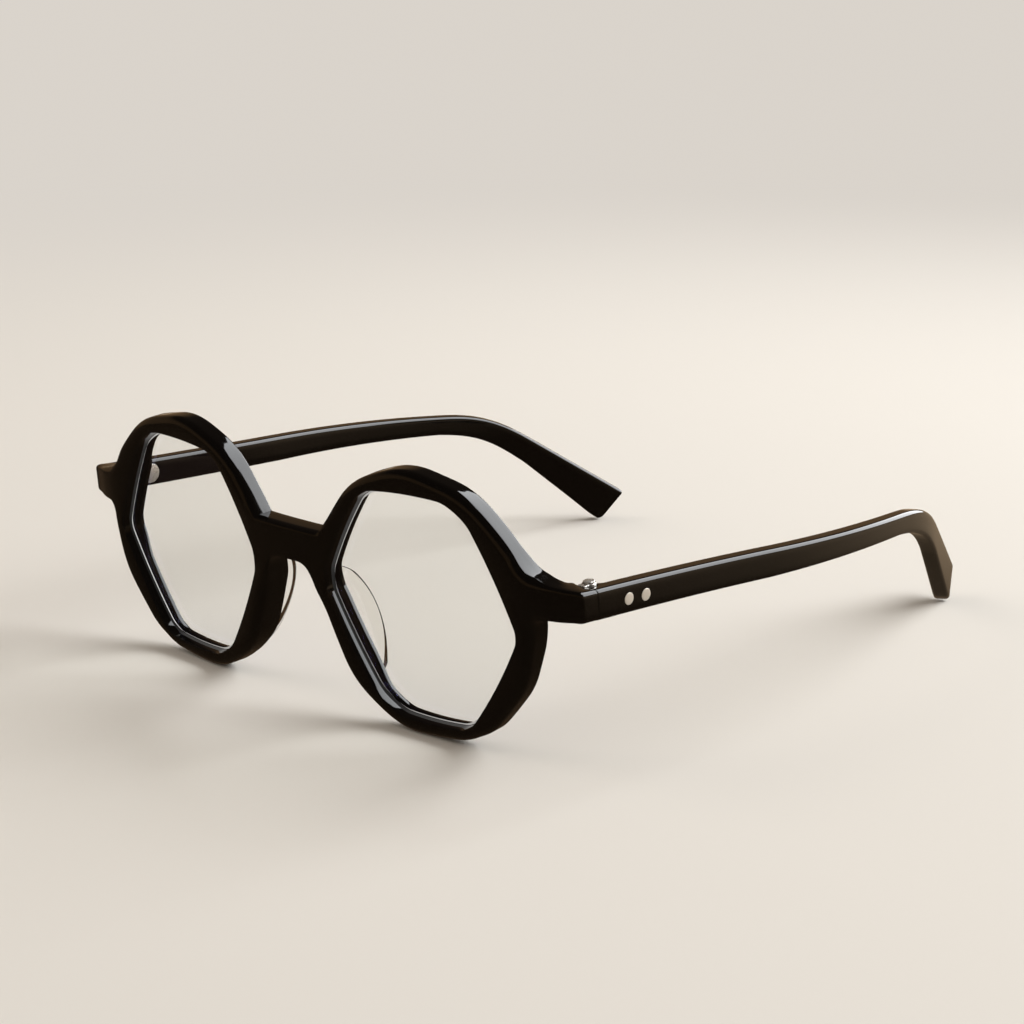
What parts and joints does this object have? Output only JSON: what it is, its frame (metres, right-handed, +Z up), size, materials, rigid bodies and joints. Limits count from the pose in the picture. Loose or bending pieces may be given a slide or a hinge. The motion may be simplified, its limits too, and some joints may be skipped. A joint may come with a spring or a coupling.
{
  "type": "eyeglasses",
  "caption": "Eyeglasses with a glossy acetate front, six-sided lens openings in rounded rims, clear nose pads and bowed temples that fold on multi-barrel hinges",
  "frame": {"origin": "on the table, at the centre of the box round the open glasses", "axes": "+X to the wearer's left, +Y from the front towards the back of the head, +Z up; the glasses stand on their rims and temple tips, so the front leans 5.6 degrees back"},
  "size_m": [0.1384, 0.148, 0.0502],
  "materials": {
    "acetate": "polished black acetate",
    "lens": "polished, with an anti-reflection coat that reflects violet-blue",
    "pad": "polished crystal acetate",
    "hinge": "satin nickel",
    "wire": "drawn nickel silver"
  },
  "bodies": {
    "front": {"front_frame": "acetate", "lens_left": "lens", "lens_right": "lens", "nose_pad_left": "pad", "nose_pad_right": "pad", "front_leaf_left": "hinge", "front_leaf_right": "hinge", "hinge_screw_left": "hinge", "hinge_screw_right": "hinge"},
    "left_temple": {"temple_left": "acetate", "temple_leaf_left": "hinge", "front_rivet_left": "hinge", "rear_rivet_left": "hinge", "core_wire_left": "wire"},
    "right_temple": {"temple_right": "acetate", "temple_leaf_right": "hinge", "front_rivet_right": "hinge", "rear_rivet_right": "hinge", "core_wire_right": "wire"}
  },
  "joints": [
    {"name": "left_temple_fold", "type": "hinge", "parent": "front", "child": "left_temple", "pos_m": [0.064, -0.06075, 0.03092], "axis": [0, -0.097, 0.9953], "range_deg": [0, 87.5]},
    {"name": "right_temple_fold", "type": "hinge", "parent": "front", "child": "right_temple", "pos_m": [-0.064, -0.06075, 0.03092], "axis": [0, 0.097, -0.9953], "range_deg": [0, 83]}
  ]
}
